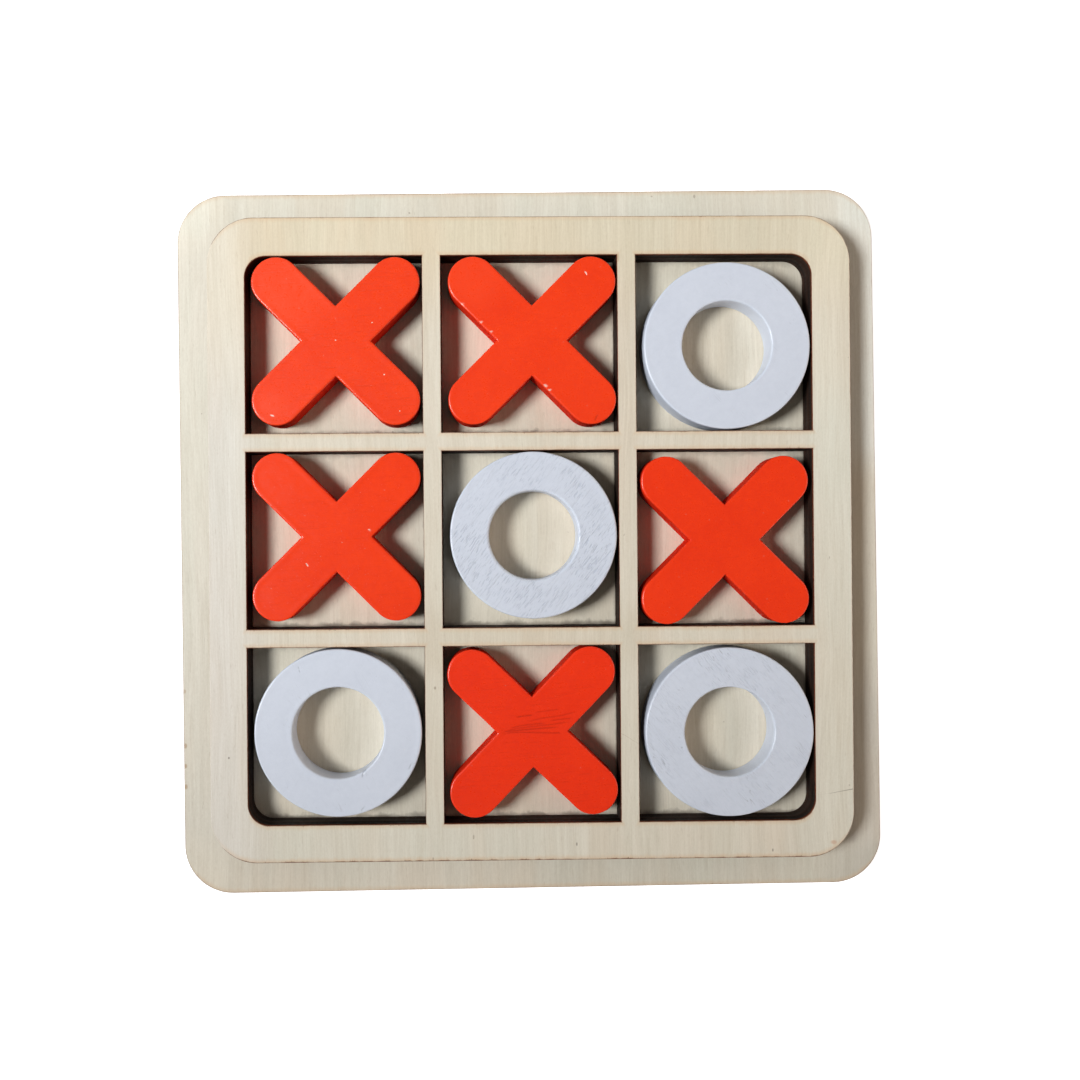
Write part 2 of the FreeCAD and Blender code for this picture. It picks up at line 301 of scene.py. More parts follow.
def make_grid(material):
    outlines = [(rounded_box(GRID, GRID, [GRID_R] * 4, 0.5, 0.17, 0.14), "rim")]
    for row in (-1, 0, 1):
        for col in (-1, 0, 1):
            radii = [OPEN_R if (col, row) == place else 0 for place in ((-1, -1), (1, -1), (1, 1), (-1, 1))]
            outlines.append((rounded_box(CELL, CELL, radii, 0.5, col * PITCH, row * PITCH)[::-1], "cell"))
    s, tops, bottoms = plywood_sheet(outlines, GRID_T, 5, 201, 0.10, 401)

    def allowed(x, y):
        ok = box_distance(x - 0.17, y - 0.14, GRID, GRID, GRID_R) < -1.85
        lx = x - np.clip(np.round(x / PITCH), -1, 1) * PITCH
        ly = y - np.clip(np.round(y / PITCH), -1, 1) * PITCH
        return ok & (box_distance(lx, ly, CELL, CELL, 0.01) > 1.75)

    dots = lattice(GRID, GRID, 0.4, 2.2, allowed)
    s.fill(tops[0], tops[1:], dots, 0.22, lambda x, y: GRID_T - relief(x, y, 401), cut=9.0)
    s.fill(bottoms[0], bottoms[1:], [], 1.0, lambda x, y: np.zeros_like(x), up=False, cut=9.0)
    return s.build("plywood_grid", material, SKEW, EAST, NORTH, BOARD_T)


# ---------------------------------------------------------------- painted pieces
def stroke_depth(x, y, strokes):
    """Depth of thin grooves: each stroke is (points, half width, depth)."""
    deep = np.zeros_like(x)
    for points, half, depth in strokes:
        points = np.asarray(points, float)
        best = np.full(x.shape, 1e9)
        part = np.zeros_like(x)
        total = np.linalg.norm(np.diff(points, axis=0), axis=1)
        done = np.concatenate([[0], np.cumsum(total)])
        for (a, b), s0, length in zip(zip(points, points[1:]), done, total):
            d = b - a
            t = np.clip(((x - a[0]) * d[0] + (y - a[1]) * d[1]) / (length * length), 0, 1)
            r = np.hypot(x - a[0] - t * d[0], y - a[1] - t * d[1])
            near = r < best
            best = np.where(near, r, best)
            part = np.where(near, (s0 + t * length) / done[-1], part)
        ends = np.clip(np.minimum(part, 1 - part) * 6 + 0.25, 0, 1)
        deep = np.maximum(deep, depth * ends * np.exp(-(best / half) ** 2))
    return deep


def pits(x, y, chips):
    """Depth and bareness of small chips: each is (x, y, long radius, short radius, angle, depth)."""
    deep, bare = np.zeros_like(x), np.zeros_like(x)
    for cx, cy, a, b, angle, depth in chips:
        c, s = math.cos(math.radians(angle)), math.sin(math.radians(angle))
        u, v = ((x - cx) * c + (y - cy) * s) / a, (-(x - cx) * s + (y - cy) * c) / b
        r = np.hypot(u, v)
        deep = np.maximum(deep, depth * (1 - smooth(r, 0.55, 1.1)))
        bare = np.maximum(bare, 1 - smooth(r, 0.75, 1.15))
    return deep, bare


def extra_points(strokes, chips):
    out = []
    for points, half, depth in strokes:
        points = np.asarray(points, float)
        for a, b in zip(points, points[1:]):
            length = np.linalg.norm(b - a)
            side = np.array([-(b - a)[1], (b - a)[0]]) / length
            for t in np.arange(0.5, max(1, round(length / 0.25))) / max(1, round(length / 0.25)):
                for k in (-1.9, -1.0, -0.45, 0.0, 0.45, 1.0, 1.9):
                    out.append(a + (b - a) * t + side * k * half)
    for cx, cy, a, b, angle, depth in chips:
        c, s = math.cos(math.radians(angle)), math.sin(math.radians(angle))
        for r, n in ((0.0, 1), (0.35, 6), (0.6, 10), (0.85, 14), (1.12, 16), (1.5, 16)):
            for t in np.arange(n) / n * 2 * math.pi + r:
                u, v = a * r * math.cos(t), b * r * math.sin(t)
                out.append(np.array([cx + u * c - v * s, cy + u * s + v * c]))
    return np.array(out).reshape(-1, 2)


def cross_outline(step=0.35):
    r, a = ARM / 2, SPAN / 2 - ARM / 2
    notch = r * math.sqrt(2)
    points = []
    for k in range(4):
        mid = math.radians(45 + 90 * k)
        centre = a * np.array([math.cos(mid), math.sin(mid)])
        n = int(round(math.pi * r / step))
        t = mid + np.linspace(-math.pi / 2, math.pi / 2, n + 1)
        arc = centre + r * np.column_stack([np.cos(t), np.sin(t)])
        nxt = math.radians(90 + 90 * k)
        corner = notch * np.array([math.cos(nxt), math.sin(nxt)])
        mid2 = mid + math.pi / 2
        start = a * np.array([math.cos(mid2), math.sin(mid2)]) + r * np.array([math.cos(mid2 - math.pi / 2), math.sin(mid2 - math.pi / 2)])
        m = int(round(np.linalg.norm(corner - arc[-1]) / step))
        f = np.arange(1, m)[:, None] / m
        points += [arc, arc[-1] + (corner - arc[-1]) * f, corner[None], corner + (start - corner) * f]
    return np.vstack(points)


def inside_cross(x, y):
    """Distance inside the cross's outline, positive inside."""
    best = np.full(x.shape, -1e9)
    a, r = SPAN / 2 - ARM / 2, ARM / 2
    for angle in (45, 135):
        c, s = math.cos(math.radians(angle)), math.sin(math.radians(angle))
        u, v = x * c + y * s, -x * s + y * c
        best = np.maximum(best, r - np.hypot(np.maximum(np.abs(u) - a, 0), v))
    return best


def paint_relief(x, y, seed, grain, angle):
    """Brushed paint over sanded wood: soft waves, and grain lines where the wood tells through."""
    c, s = math.cos(math.radians(angle)), math.sin(math.radians(angle))
    u, v = x * c + y * s, -x * s + y * c
    wave = 0.010 * (1 - noise(x / 3.1, y / 3.1, seed)) + 0.004 * (1 - noise(x / 1.1, y / 1.1, seed + 1))
    lines = noise(v / 0.42, u / 5.5, seed + 2) * 0.6 + noise(v / 0.9, u / 11, seed + 3) * 0.5
    patch = smooth(noise(u / 6, v / 3.5, seed + 4), -0.5, 0.5)
    return wave + grain * np.maximum(0, lines - 0.15) * (0.35 + 0.65 * patch)


def make_cross(name, node, material, seed, grain=0.0, angle=0.0, strokes=(), chips=(), wear=1.0):
    col, row, east, north, turn = CROSSES[node]
    s = Sheet(["edge", "chip", "groove", "side"])
    xy = cross_outline()
    n = normals(xy)
    run = along(xy)
    size = SOFT * (1 + 0.22 * noise(run / 9, 0.5, seed) + 0.08 * noise(run / 1.6, 3.5, seed))
    size = np.clip(size, 0.22, 0.48)
    dent = 0.02 * (0.5 + 0.5 * noise(run / 2.2, 8.5, seed))
    rows, steps = [], 6
    for k in range(steps + 1):                      # under edge
        a = math.radians(90 * k / steps)
        q = xy - n * (dent + size * (1 - math.sin(a)))[:, None]
        rows.append(s.row(np.column_stack([q, size * (1 - math.cos(a))]), edge=0.5, side=float(k > 1)))
    for z in (1.6, 3.2, 4.8):
        q = xy - n * (dent + 0.006 * (1 + noise(run / 1.3, z, seed + 9)))[:, None]
        rows.append(s.row(np.column_stack([q, np.full(len(q), z)]), side=1.0))
    for k in range(steps + 1):                      # upper edge
        a = math.radians(90 * k / steps)
        inset = dent + size * (1 - math.cos(a))
        q = xy - n * inset[:, None]
        z = THICK - size * (1 - math.sin(a)) - 0.012 * math.sin(a)
        deep, bare = pits(q[:, 0], q[:, 1], chips)
        z = z - deep * math.sin(a)
        rows.append(s.row(np.column_stack([q, z]), edge=math.sin(2 * a) if a else 0.0, chip=bare, side=float(k == 0)))

    def top(x, y):
        d = inside_cross(x, y)
        fade = smooth(d, 0.5, 1.4)
        deep, bare = pits(x, y, chips)
        crown = 0.016 * (1 - smooth(d, 0.4, 4.2))
        return THICK - 0.012 - crown * fade - paint_relief(x, y, seed + 20, grain, angle) * fade - deep - stroke_depth(x, y, strokes)

    def bare_at(x, y):
        return pits(x, y, chips)[1]

    def groove_at(x, y):
        return np.clip(stroke_depth(x, y, strokes) / 0.03, 0, 1)

    for inset in (0.85, 1.2):
        q = xy - n * inset
        rows.append(s.row(np.column_stack([q, top(q[:, 0], q[:, 1])]), edge=0.0, chip=bare_at(q[:, 0], q[:, 1]),
                          groove=groove_at(q[:, 0], q[:, 1])))
    for a, b in zip(rows, rows[1:]):
        s.band(a, b)
    dots = lattice(SPAN, SPAN, 0.36, 0.36, lambda x, y: inside_cross(x, y) > 1.42)
    more = extra_points(strokes, chips)
    if len(more):
        more = more[inside_cross(more[:, 0], more[:, 1]) > 1.36]
        keep = np.ones(len(dots), bool)
        for p in more:
            keep &= np.hypot(dots[:, 0] - p[0], dots[:, 1] - p[1]) > 0.10
        dots = np.vstack([dots[keep], more])
    s.fill(rows[-1], [], dots, 1.0, top, chip=bare_at, groove=groove_at)
    s.fill(rows[0], [], lattice(SPAN, SPAN, 1.6, 1.6, lambda x, y: inside_cross(x, y) > 1.4), 1.0,
           lambda x, y: np.zeros_like(x), up=False)
    u, w = col * PITCH + east, row * PITCH + north
    c, si = math.cos(SKEW), math.sin(SKEW)
    piece = s.build(name, material, SKEW + math.radians(turn), EAST + u * c - w * si, NORTH + u * si + w * c, BOARD_T,
                    local=(seed * 3.7, seed * 1.3, seed * 11.0))
    return piece


def make_ring(name, node, material, seed, grain=0.0, angle=0.0, strokes=(), chips=(), bevel=(0.34, 0.36), count=480):
    col, row, east, north, outer, hole = RINGS[node]
    ro, ri = outer / 2, hole / 2
    s = Sheet(["edge", "chip", "groove", "side"])
    t = np.arange(count) / count * 2 * math.pi
    ct, st = np.cos(t), np.sin(t)
    round_out = np.clip(bevel[0] * (1 + 0.14 * noise(t * 2.2, 0.5, seed) + 0.05 * noise(t * 14, 2.5, seed)), 0.24, 0.60)
    round_in = np.clip(bevel[1] * (1 + 0.14 * noise(t * 2.0, 4.5, seed) + 0.05 * noise(t * 9, 6.5, seed)), 0.24, 0.8)
    dent = 0.02 * (0.5 + 0.5 * noise(t * 6, 9.5, seed))

    def put(radius, z, **attr):
        radius, z = np.broadcast_to(radius, t.shape), np.broadcast_to(z, t.shape)
        return s.row(np.column_stack([radius * ct, radius * st, z]), **attr)

    rows, steps = [], 6
    for f in (0.12, 0.37, 0.63, 0.88):
        rows.append(put(ri + (ro - ri) * f, 0.0))
    for k in range(steps + 1):
        a = math.radians(90 * k / steps)
        rows.append(put(ro - dent - round_out * (1 - math.sin(a)), round_out * (1 - math.cos(a)), edge=0.5, side=float(k > 1)))
    for z in (1.6, 3.2, 4.8):
        rows.append(put(ro - dent - 0.006 * (1 + noise(t * 11, z, seed + 9)), z, side=1.0))

    def top(x, y, d):
        fade = smooth(d, 0.45, 1.3)
        deep, bare = pits(x, y, chips)
        crown = 0.016 * (1 - smooth(d, 0.4, 3.6))
        return (THICK - 0.012 - crown * fade - paint_relief(x, y, seed + 20, grain, angle) * fade - deep
                - stroke_depth(x, y, strokes))

    for k in range(steps + 1):
        a = math.radians(90 * k / steps)
        rad = ro - dent - round_out * (1 - math.cos(a))
        deep, bare = pits(rad * ct, rad * st, chips)
        cut = stroke_depth(rad * ct, rad * st, strokes)
        rows.append(put(rad, THICK - round_out * (1 - math.sin(a)) - 0.012 * math.sin(a) - (deep + cut) * math.sin(a),
                        edge=math.sin(2 * a) if a else 0.0, chip=bare, groove=np.clip(cut / 0.03, 0, 1), side=float(k == 0)))
    span = (ro - 0.72) - (ri + 0.72)
    many = int(round(span / 0.22))
    for k in range(many + 1):
        rad = ro - 0.72 - span * k / many
        x, y = rad * ct, rad * st
        d = min(ro - rad, rad - ri)
        rows.append(put(rad, top(x, y, np.full_like(x, d)), chip=pits(x, y, chips)[1],
                        groove=np.clip(stroke_depth(x, y, strokes) / 0.03, 0, 1)))
    for k in range(steps + 1):
        a = math.radians(90 - 90 * k / steps)
        rad = ri + dent + round_in * (1 - math.cos(a))
        deep, bare = pits(rad * ct, rad * st, chips)
        cut = stroke_depth(rad * ct, rad * st, strokes)
        rows.append(put(rad, THICK - round_in * (1 - math.sin(a)) - 0.012 * math.sin(a) - (deep + cut) * math.sin(a),
                        edge=math.sin(2 * a) if a else 0.0, chip=bare, groove=np.clip(cut / 0.03, 0, 1), side=float(k == steps)))
    for z in (4.8, 3.2, 1.6):
        rows.append(put(ri + dent + 0.006 * (1 + noise(t * 8, z + 20, seed + 9)), z, side=1.0))
    for k in range(steps + 1):
        a = math.radians(90 - 90 * k / steps)
        rows.append(put(ri + dent + round_in * (1 - math.sin(a)), round_in * (1 - math.cos(a)), edge=0.5, side=float(k < steps - 1)))
    for a, b in zip(rows, rows[1:] + rows[:1]):
        s.band(a, b)
    u, w = col * PITCH + east, row * PITCH + north
    c, si = math.cos(SKEW), math.sin(SKEW)
    return s.build(name, material, SKEW, EAST + u * c - w * si, NORTH + u * si + w * c, BOARD_T,
                   local=(seed * 3.7, seed * 1.3, seed * 11.0))


# ---------------------------------------------------------------- material builder
class Look:
    def __init__(self, name):
        self.mat = bpy.data.materials.new(name)
        self.mat.use_nodes = True
        self.tree = self.mat.node_tree
        self.tree.nodes.clear()
        out = self.node("ShaderNodeOutputMaterial")
        self.bsdf = self.node("ShaderNodeBsdfPrincipled")
        self.tree.links.new(self.bsdf.outputs[0], out.inputs[0])

    def node(self, kind, **props):
        n = self.tree.nodes.new(kind)
        for k, v in props.items():
            setattr(n, k, v)
        return n

    def feed(self, socket, value):
        if isinstance(value, bpy.types.NodeSocket):
            self.tree.links.new(value, socket)
        elif value is not None:
            if socket.type == "RGBA" and len(value) == 3:
                value = (*value, 1.0)
            socket.default_value = value

    def math(self, op, a, b=None, c=None, clamp=False):
        n = self.node("ShaderNodeMath", operation=op, use_clamp=clamp)
        for s, v in zip(n.inputs, (a, b, c)):
            self.feed(s, v)
        return n.outputs[0]

    def vec(self, op, a, b=None):
        n = self.node("ShaderNodeVectorMath", operation=op)
        self.feed(n.inputs[0], a)
        if b is not None:
            self.feed(n.inputs["Scale"] if op == "SCALE" else n.inputs[1], b)
        return n.outputs["Value"] if op in ("LENGTH", "DISTANCE", "DOT_PRODUCT") else n.outputs[0]

    def mix(self, fac, a, b, blend="MIX"):
        n = self.node("ShaderNodeMix", data_type="RGBA", blend_type=blend)
        self.feed(n.inputs[0], fac)
        self.feed(n.inputs[6], a)
        self.feed(n.inputs[7], b)
        return n.outputs[2]

    def noise(self, vector, detail=2.0, rough=0.5, scale=1.0, bend=0.0):
        n = self.node("ShaderNodeTexNoise")
        self.feed(n.inputs["Vector"], vector)
        n.inputs["Scale"].default_value = scale
        n.inputs["Detail"].default_value = detail
        n.inputs["Roughness"].default_value = rough
        n.inputs["Distortion"].default_value = bend
        return n.outputs[0]

    def node_colour(self, vector):
        n = self.node("ShaderNodeTexNoise")
        self.feed(n.inputs["Vector"], vector)
        n.inputs["Scale"].default_value = 1.0
        n.inputs["Detail"].default_value = 1.0
        return n.outputs["Color"]

    def step(self, value, lo, hi, a=0.0, b=1.0):
        n = self.node("ShaderNodeMapRange", interpolation_type="SMOOTHSTEP")
        for k, v in zip(("Value", "From Min", "From Max", "To Min", "To Max"), (value, lo, hi, a, b)):
            self.feed(n.inputs[k], v)
        return n.outputs[0]

    def linear(self, value, lo, hi, a=0.0, b=1.0):
        n = self.node("ShaderNodeMapRange", interpolation_type="LINEAR", clamp=True)
        for k, v in zip(("Value", "From Min", "From Max", "To Min", "To Max"), (value, lo, hi, a, b)):
            self.feed(n.inputs[k], v)
        return n.outputs[0]

    def attribute(self, name, vector=False):
        n = self.node("ShaderNodeAttribute", attribute_type="GEOMETRY", attribute_name=name)
        return n.outputs["Vector"] if vector else n.outputs["Fac"]

    def spot(self, q, x, y, rx, ry, soft=0.5):
        """1 inside a small ellipse about (x, y) in mm, whatever the height."""
        d = self.vec("MULTIPLY", self.vec("SUBTRACT", q, (x, y, 0.0)), (1.0 / rx, 1.0 / ry, 0.0))
        return self.step(self.vec("LENGTH", d), 1.0 - soft, 1.0 + soft, 1.0, 0.0)

    def finish(self, colour, rough, height=None, distance=0.00005, strength=1.0):
        self.feed(self.bsdf.inputs["Base Color"], colour)
        self.feed(self.bsdf.inputs["Roughness"], rough)
        if height is not None:
            b = self.node("ShaderNodeBump")
            b.inputs["Strength"].default_value = strength
            b.inputs["Distance"].default_value = distance
            self.feed(b.inputs["Height"], height)
            self.tree.links.new(b.outputs[0], self.bsdf.inputs["Normal"])
        return self.mat


def plywood(name, z0, ply, plies, seed, light, dark, spots=(), tints_and_painted_light=(), soot_and_shade=0.0, hairs=()):
    m = Look(name)
    q = m.vec("SCALE", m.node("ShaderNodeTexCoord").outputs["Object"], 1000.0)
    shift = m.vec("ADD", q, (seed * 13.7, seed * 5.1, seed * 3.3))
    wander = m.noise(m.vec("MULTIPLY", shift, (0.03, 0.018, 0.03)), 1.0)
    side = m.node("ShaderNodeCombineXYZ")
    m.feed(side.inputs[0], m.math("MULTIPLY", m.math("SUBTRACT", wander, 0.5), 6.0))
    g = m.vec("ADD", shift, side.outputs[0])
    fine = m.noise(m.vec("MULTIPLY", g, (2.3, 0.085, 2.3)), 3.0, 0.68)
    medium = m.noise(m.vec("MULTIPLY", g, (0.42, 0.016, 0.42)), 3.0, 0.55)
    broad = m.noise(m.vec("MULTIPLY", g, (0.07, 0.010, 0.07)), 2.0, 0.5)
    grit = m.noise(m.vec("MULTIPLY", g, (3.4, 1.5, 3.4)), 2.0, 0.6)
    hair = m.noise(m.vec("MULTIPLY", g, (0.85, 0.030, 0.85)), 1.0)
    line = m.step(m.math("ABSOLUTE", m.math("SUBTRACT", hair, 0.47)), 0.0, 0.018, 1.0, 0.0)
    flecks = m.step(m.noise(m.vec("MULTIPLY", g, (4.2, 0.50, 4.2)), 1.0), 0.68, 0.78)
    t = m.math("ADD", m.math("MULTIPLY", fine, 0.50), m.math("ADD", m.math("MULTIPLY", medium, 0.30), m.math("MULTIPLY", broad, 0.22)))
    t = m.math("ADD", t, m.math("MULTIPLY", m.math("SUBTRACT", grit, 0.5), 0.26))
    wood = m.mix(m.linear(t, 0.35, 0.67), light, dark)
    hue = m.noise(m.vec("MULTIPLY", g, (0.11, 0.018, 0.11)), 2.0, 0.55)
    wood = m.mix(m.step(hue, 0.50, 0.66), wood, (1.0, 0.978, 0.962), "MULTIPLY")
    wood = m.mix(m.step(hue, 0.34, 0.48, 1.0, 0.0), wood, (0.985, 1.0, 1.000), "MULTIPLY")
    wood = m.mix(m.math("MULTIPLY", line, 0.12), wood, (0.52, 0.42, 0.30))
    wood = m.mix(m.math("MULTIPLY", flecks, 0.20), wood, (0.44, 0.35, 0.26))
    # tints over set regions of the face; several of them are painted light and shade
    for value, tint in tints_and_painted_light:
        wood = m.mix(value(m, q), wood, tint, "MULTIPLY")
    dots = m.step(m.noise(m.vec("MULTIPLY", shift, (1.05, 0.7, 1.05)), 0.0), 0.892, 0.92)
    wood = m.mix(m.math("MULTIPLY", dots, 0.45), wood, (0.25, 0.18, 0.12))
    for x, y, rx, ry, soft, amount, tint in spots:
        wood = m.mix(m.math("MULTIPLY", m.spot(q, x, y, rx, ry, soft), amount), wood, tint)
    for x0, y0, x1, y1, half, amount, tint in hairs:
        wave = m.vec("ADD", q, m.vec("SCALE", m.vec("SUBTRACT", m.node_colour(m.vec("MULTIPLY", shift, (0.5, 0.5, 0.0))), (0.5, 0.5, 0.5)), 0.35))
        rel = m.vec("MULTIPLY", m.vec("SUBTRACT", wave, (x0, y0, 0.0)), (1.0, 1.0, 0.0))
        d = (x1 - x0, y1 - y0, 0.0)
        t1 = m.math("DIVIDE", m.vec("DOT_PRODUCT", rel, d), d[0] ** 2 + d[1] ** 2, clamp=True)
        off = m.vec("SUBTRACT", rel, m.vec("SCALE", d, t1))
        taper = m.math("ADD", m.math("MULTIPLY", t1, 0.6), 0.4)
        near = m.step(m.vec("LENGTH", off), 0.0, m.math("MULTIPLY", taper, half), 1.0, 0.0)
        wood = m.mix(m.math("MULTIPLY", near, amount), wood, tint)
    if soot_and_shade:
        # soot smudges and painted shade along the foot of the grid's burnt walls on the face, drawn out along the
        # grain; strongest along each cell's near wall
        c, si = math.cos(SKEW), math.sin(SKEW)
        flat = m.vec("SUBTRACT", q, (EAST, NORTH, 0.0))
        u = m.math("DIVIDE", m.vec("DOT_PRODUCT", flat, (c, si, 0.0)), PITCH)
        v = m.math("DIVIDE", m.vec("DOT_PRODUCT", flat, (-si, c, 0.0)), PITCH)
        u = m.math("SUBTRACT", m.math("FRACT", m.math("ADD", u, 20.5)), 0.5)
        v = m.math("SUBTRACT", m.math("FRACT", m.math("ADD", v, 20.5)), 0.5)
        wisps = m.noise(m.vec("MULTIPLY", shift, (0.42, 0.42, 1.0)), 3.0, 0.62)
        patchy = m.noise(m.vec("MULTIPLY", shift, (0.22, 0.22, 0.2)), 1.0)
        inside = m.math("MAXIMUM", m.math("ABSOLUTE", m.vec("DOT_PRODUCT", flat, (c, si, 0.0))),
                        m.math("ABSOLUTE", m.vec("DOT_PRODUCT", flat, (-si, c, 0.0))))
        inside = m.math("LESS_THAN", inside, OPEN / 2 + 0.5)
        # the whole floor inside the cells a little darker and warmer: painted shade
        wood = m.mix(inside, wood, (0.975, 0.962, 0.930), "MULTIPLY")
        for value, side_of, reach, amount in ((v, -1.0, 1.25, 0.85), (v, 1.0, 1.6, 0.34), (u, 1.0, 0.5, 0.50), (u, -1.0, 0.5, 0.30)):
            gap = m.math("SUBTRACT", CELL / 2, m.math("MULTIPLY", value, side_of * PITCH))
            width = m.math("MULTIPLY", m.math("POWER", wisps, 2.0), reach * 3.0)
            mark = m.step(gap, 0.0, m.math("ADD", width, 0.22), 1.0, 0.0)
            mark = m.math("MULTIPLY", m.math("MULTIPLY", mark, inside), m.step(patchy, 0.30, 0.62, 0.45, 1.0))
            wood = m.mix(m.math("MULTIPLY", mark, soot_and_shade * amount), wood, (0.17, 0.135, 0.105))

    # the cut's marks on the face: a warm halo, widest across the grain, then a thin brown line at the arris
    cut, across, burn, wall = (m.attribute(a) for a in ("cut", "across", "burn", "wall"))
    ragged = m.noise(m.vec("MULTIPLY", shift, (1.6, 0.5, 1.0)), 2.0)
    teeth = m.noise(m.vec("MULTIPLY", shift, (3.2, 0.45, 1.0)), 2.0, 0.6)
    reach = m.math("MULTIPLY", m.math("ADD", 0.30, m.math("MULTIPLY", across, 0.85)), m.math("ADD", 0.45, ragged))
    halo = m.math("SUBTRACT", 1.0, m.step(cut, 0.0, reach))
    halo = m.math("MULTIPLY", halo, m.math("MULTIPLY", m.math("ADD", 0.14, m.math("MULTIPLY", across, 0.30)), m.math("ADD", 0.45, burn)))
    wood = m.mix(halo, wood, (0.66, 0.44, 0.25))
    thin = m.math("MULTIPLY", m.math("ADD", 0.03, m.math("MULTIPLY", burn, 0.24)), m.math("ADD", 0.2, m.math("MULTIPLY", ragged, 1.4)))
    thin = m.math("ADD", thin, m.math("MULTIPLY", m.math("MULTIPLY", across, burn), m.step(teeth, 0.55, 0.75, 0.0, 0.45)))
    edge = m.math("SUBTRACT", 1.0, m.step(cut, 0.0, thin))
    wood = m.mix(m.math("MULTIPLY", edge, m.math("MULTIPLY", burn, 1.1, clamp=True)), wood, (0.15, 0.075, 0.040))

    # the cut wall: plies, charred darker where their grain is cut across, with upright striations
    up = m.node("ShaderNodeSeparateXYZ")
    m.feed(up.inputs[0], q)
    level = m.math("DIVIDE", m.math("SUBTRACT", up.outputs[2], z0), ply)
    odd = m.math("GREATER_THAN", m.math("MODULO", level, 2.0), 1.0)
    seam = m.math("ABSOLUTE", m.math("SUBTRACT", m.math("FRACT", m.math("ADD", level, 0.5)), 0.5))
    seam = m.step(seam, 0.02, 0.09, 1.0, 0.0)
    streak = m.noise(m.vec("MULTIPLY", shift, (2.6, 2.6, 0.16)), 2.0, 0.6)
    cloud = m.noise(m.vec("MULTIPLY", shift, (0.16, 0.16, 0.3)), 2.0)
    speck = m.noise(m.vec("MULTIPLY", shift, (3.0, 3.0, 5.0)), 2.0)
    long_ply = m.mix(m.linear(streak, 0.3, 0.7), (0.012, 0.0056, 0.0032), (0.034, 0.0135, 0.0070))
    end_ply = m.mix(m.linear(speck, 0.3, 0.7), (0.007, 0.0036, 0.0023), (0.017, 0.0075, 0.0044))
    char = m.mix(odd, long_ply, end_ply)
    char = m.mix(m.math("MULTIPLY", m.linear(cloud, 0.45, 0.75), 0.5), char, (0.052, 0.020, 0.0095))
    char = m.mix(m.math("MULTIPLY", seam, 0.55), char, (0.006, 0.004, 0.003))
    rim = m.step(wall, 0.0, 0.80, 1.0, 0.0)
    warm = m.mix(m.linear(streak, 0.35, 0.65), (0.17, 0.040, 0.018), (0.30, 0.085, 0.036))
    depth = m.math("MULTIPLY", m.math("SUBTRACT", plies, level), ply)
    rim = m.math("MAXIMUM", rim, m.step(depth, 0.10, 0.85, 0.62, 0.0))
    char = m.mix(rim, char, warm)
    low = m.step(burn, 0.05, 0.16, 0.60, 0.02)
    colour = m.mix(m.step(wall, low, m.math("ADD", low, 0.32)), wood, char)
    rough = m.mix(m.step(wall, 0.0, 0.4), m.linear(t, 0.3, 0.8, 0.58, 0.72), m.linear(streak, 0.2, 0.8, 0.72, 0.95))
    height = m.math("ADD", m.math("MULTIPLY", fine, 0.6), m.math("SUBTRACT", m.math("MULTIPLY", streak, m.math("MULTIPLY", wall, 0.8)), m.math("MULTIPLY", flecks, 0.35)))
    m.bsdf.inputs["Specular IOR Level"].default_value = 0.25
    return m.finish(colour, rough, height, 0.00004, 0.8)


